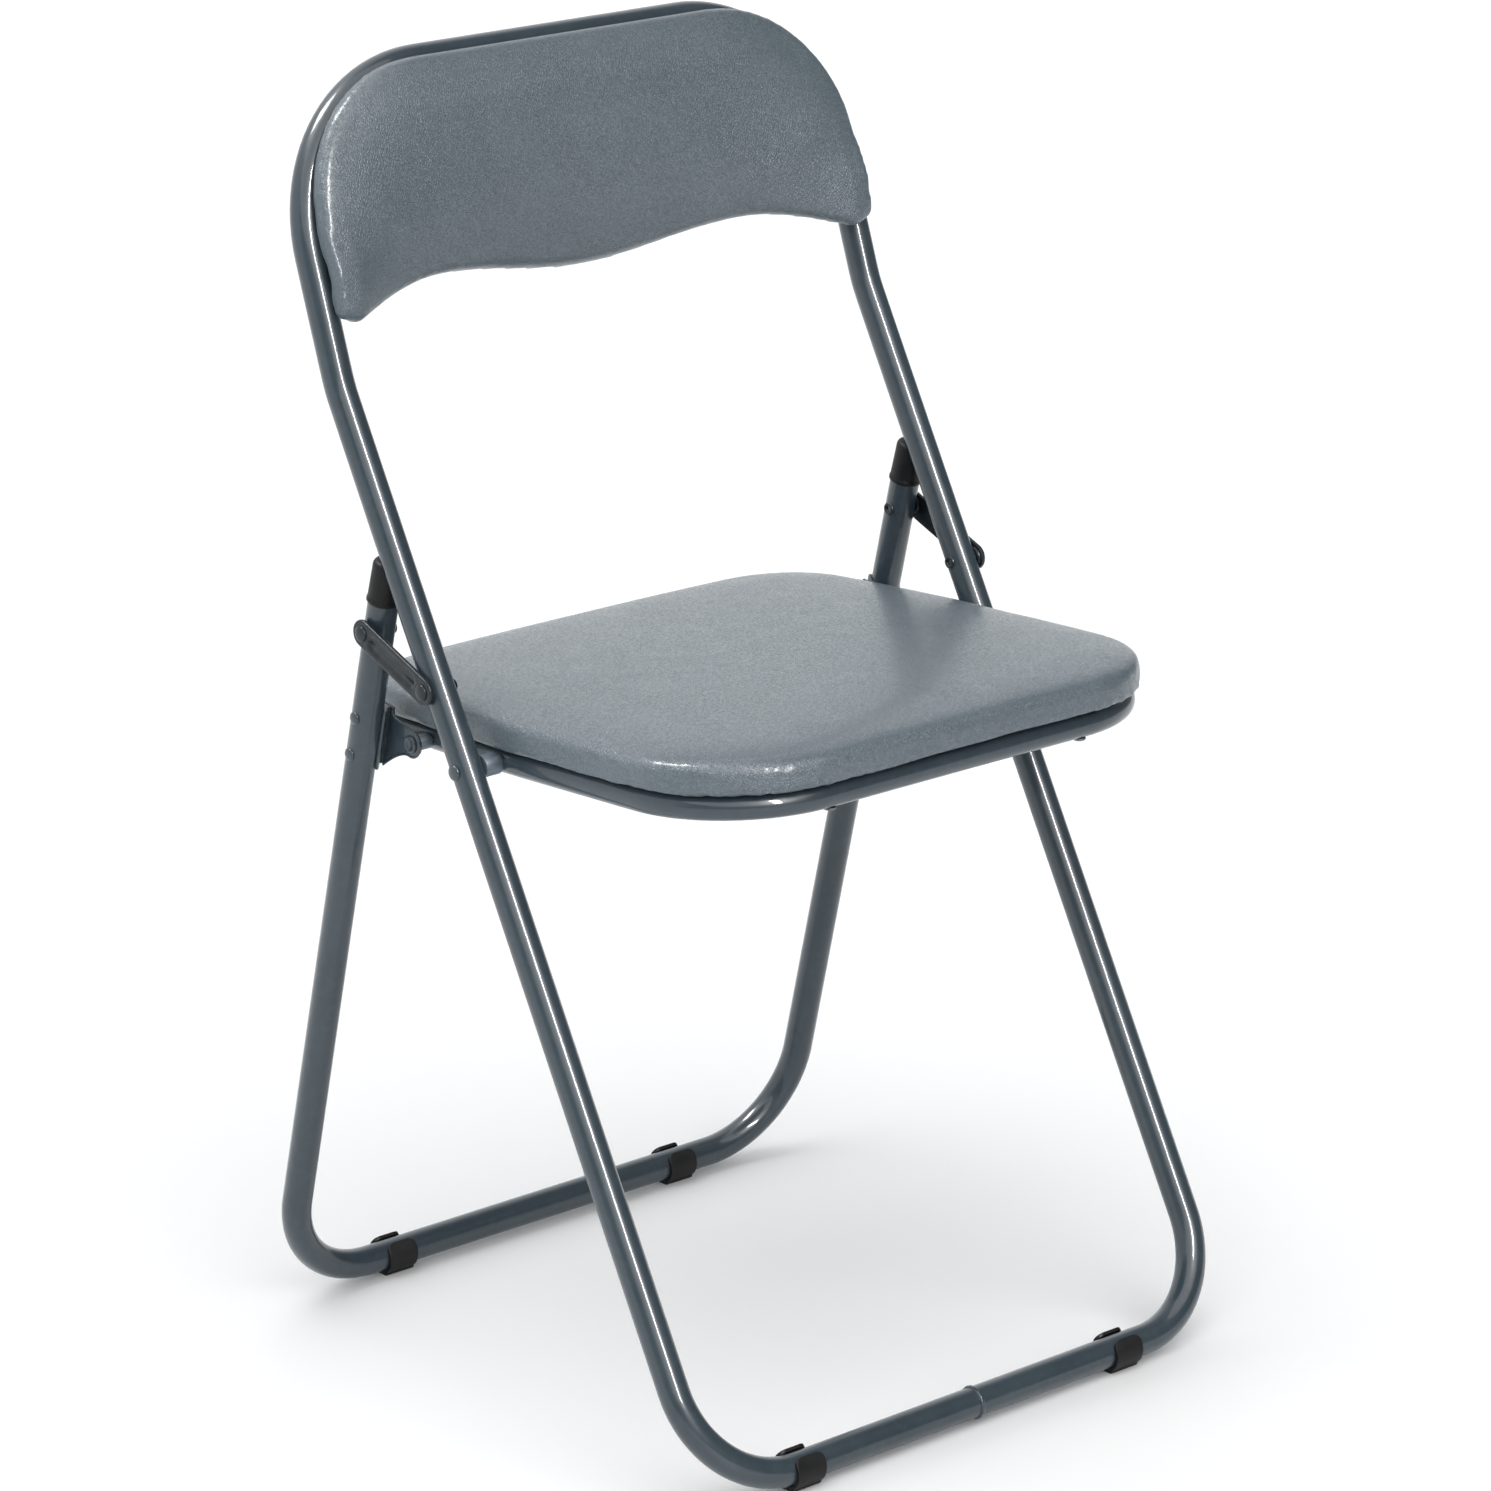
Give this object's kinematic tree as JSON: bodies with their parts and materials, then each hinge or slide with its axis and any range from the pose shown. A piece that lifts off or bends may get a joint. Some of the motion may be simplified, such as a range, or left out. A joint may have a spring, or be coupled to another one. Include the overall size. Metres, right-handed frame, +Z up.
{
  "type": "folding chair",
  "caption": "Padded steel folding chair: crossed round-tube frames, tipping seat and a link arm each side; folds flat.",
  "frame": {"origin": "on the floor, in the middle of the open chair's bounding box", "axes": "+Z up; the chair faces -Y; +X is the sitter's left"},
  "size_m": [0.4508, 0.4396, 0.8021],
  "materials": {
    "powder_coat": "glossy blue-grey powder coat",
    "vinyl": "grained blue-grey vinyl",
    "black_plastic": "semi-matt black",
    "board": "dark painted board",
    "zinc": "zinc-plated"
  },
  "bodies": {
    "front_frame": {"front_frame_tube": "powder_coat", "crossbar_weld_bead": "powder_coat", "front_foot_left": "black_plastic", "front_foot_right": "black_plastic", "back_board": "board", "back_pad": "vinyl", "back_tab_lower_left": "powder_coat", "back_tab_lower_right": "powder_coat", "back_tab_upper_left": "powder_coat", "back_tab_upper_right": "powder_coat", "back_screw_lower_left": "zinc", "back_screw_lower_right": "zinc", "back_screw_upper_left": "zinc", "back_screw_upper_right": "zinc", "seat_pivot_rivet_left": "powder_coat", "seat_pivot_rivet_right": "powder_coat", "link_front_rivet_left": "powder_coat", "link_front_rivet_right": "powder_coat"},
    "seat": {"seat_frame_tube": "powder_coat", "seat_board": "board", "seat_pad": "vinyl", "seat_screw_front_left": "zinc", "seat_screw_front_right": "zinc", "seat_screw_rear_left": "zinc", "seat_screw_rear_right": "zinc", "seat_pivot_spacer_left": "zinc", "seat_pivot_spacer_right": "zinc", "rear_pivot_spacer_left": "zinc", "rear_pivot_spacer_right": "zinc"},
    "rear_frame": {"rear_frame_tube": "powder_coat", "rear_foot_left": "black_plastic", "rear_foot_right": "black_plastic", "rear_cap_left": "black_plastic", "rear_cap_right": "black_plastic", "seat_bracket_left": "powder_coat", "seat_bracket_right": "powder_coat", "bracket_rivet_lower_left": "powder_coat", "bracket_rivet_lower_right": "powder_coat", "bracket_rivet_upper_left": "powder_coat", "bracket_rivet_upper_right": "powder_coat", "rear_pivot_rivet_left": "powder_coat", "rear_pivot_rivet_right": "powder_coat", "link_rear_rivet_left": "powder_coat", "link_rear_rivet_right": "powder_coat"},
    "link_left": {"link_arm_left": "powder_coat"},
    "link_right": {"link_arm_right": "powder_coat"}
  },
  "joints": [
    {"name": "seat_fold", "type": "hinge", "parent": "front_frame", "child": "seat", "pos_m": [0, 0.01168, 0.40633], "axis": [-1, 0, 0], "range_deg": [0, 115.85]},
    {"name": "link_left_swing", "type": "hinge", "parent": "front_frame", "child": "link_left", "pos_m": [0.2219, 0.03653, 0.45098], "axis": [-1, 0, 0], "range_deg": [0, 113.2]},
    {"name": "link_right_swing", "type": "hinge", "parent": "front_frame", "child": "link_right", "pos_m": [-0.2219, 0.03653, 0.45098], "axis": [-1, 0, 0], "range_deg": [0, 113.2]},
    {"name": "rear_frame_fold", "type": "hinge", "parent": "link_left", "child": "rear_frame", "pos_m": [0.21, 0.09441, 0.47399], "axis": [1, 0, 0], "range_deg": [0, 70.3]}
  ],
  "couplings": [
    {"joint": "link_left_swing", "follows": "seat_fold", "ratio": 0.97581},
    {"joint": "link_right_swing", "follows": "seat_fold", "ratio": 0.97581},
    {"joint": "rear_frame_fold", "follows": "seat_fold", "ratio": 0.60559}
  ]
}
